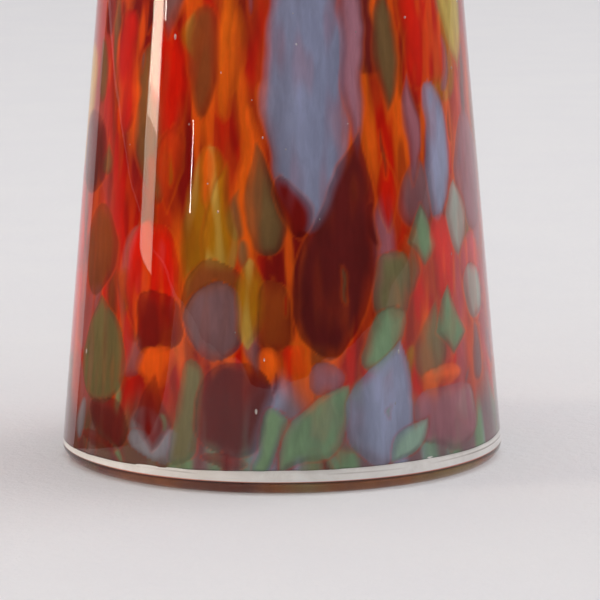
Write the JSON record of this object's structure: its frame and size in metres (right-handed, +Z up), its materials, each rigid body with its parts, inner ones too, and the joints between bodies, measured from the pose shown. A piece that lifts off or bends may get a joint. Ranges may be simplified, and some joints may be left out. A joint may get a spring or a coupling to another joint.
{
  "type": "mezuzah case",
  "caption": "Tapered round mezuzah case of cased blown glass, with a metal neck collar, a rear wall plate and a lift-out stopper that carries a sleeved parchment scroll.",
  "frame": {"origin": "centre of the flat underside of the glass case, on the surface it stands on", "axes": "+Z up the case's axis, -Y to the front, +Y to the wall plate and the wall"},
  "size_m": [0.04, 0.04, 0.134],
  "materials": {
    "cased_glass": "clear gloss casing over red, orange, green, grey-blue and maroon glass chips",
    "clear_silicone": "translucent silicone bedding",
    "satin_pewter": "satin turned pewter-grey metal",
    "bright_steel": "bright steel",
    "grey_silicone": "matte ribbed silicone",
    "white_nylon": "moulded nylon",
    "clear_acrylic": "clear acrylic tube",
    "parchment": "rolled blank parchment",
    "linen_tape": "woven tape"
  },
  "bodies": {
    "case": {"glass_case": "cased_glass", "collar_liner": "clear_silicone", "neck_collar": "satin_pewter", "wall_plate": "satin_pewter", "plate_screw_low": "bright_steel", "plate_screw_high": "bright_steel"},
    "stopper": {"stopper_knob": "satin_pewter", "stopper_plug": "grey_silicone", "stopper_stud": "bright_steel", "scroll_holder": "white_nylon"},
    "scroll_set": {"scroll_sleeve": "clear_acrylic", "scroll": "parchment", "scroll_band": "linen_tape"}
  },
  "joints": [
    {"name": "stopper_lift", "type": "slide", "parent": "case", "child": "stopper", "axis": [0, 0, 1], "range_m": [0, 0.108]},
    {"name": "scroll_release", "type": "slide", "parent": "stopper", "child": "scroll_set", "axis": [0, 0, -1], "range_m": [0, 0.007]}
  ]
}
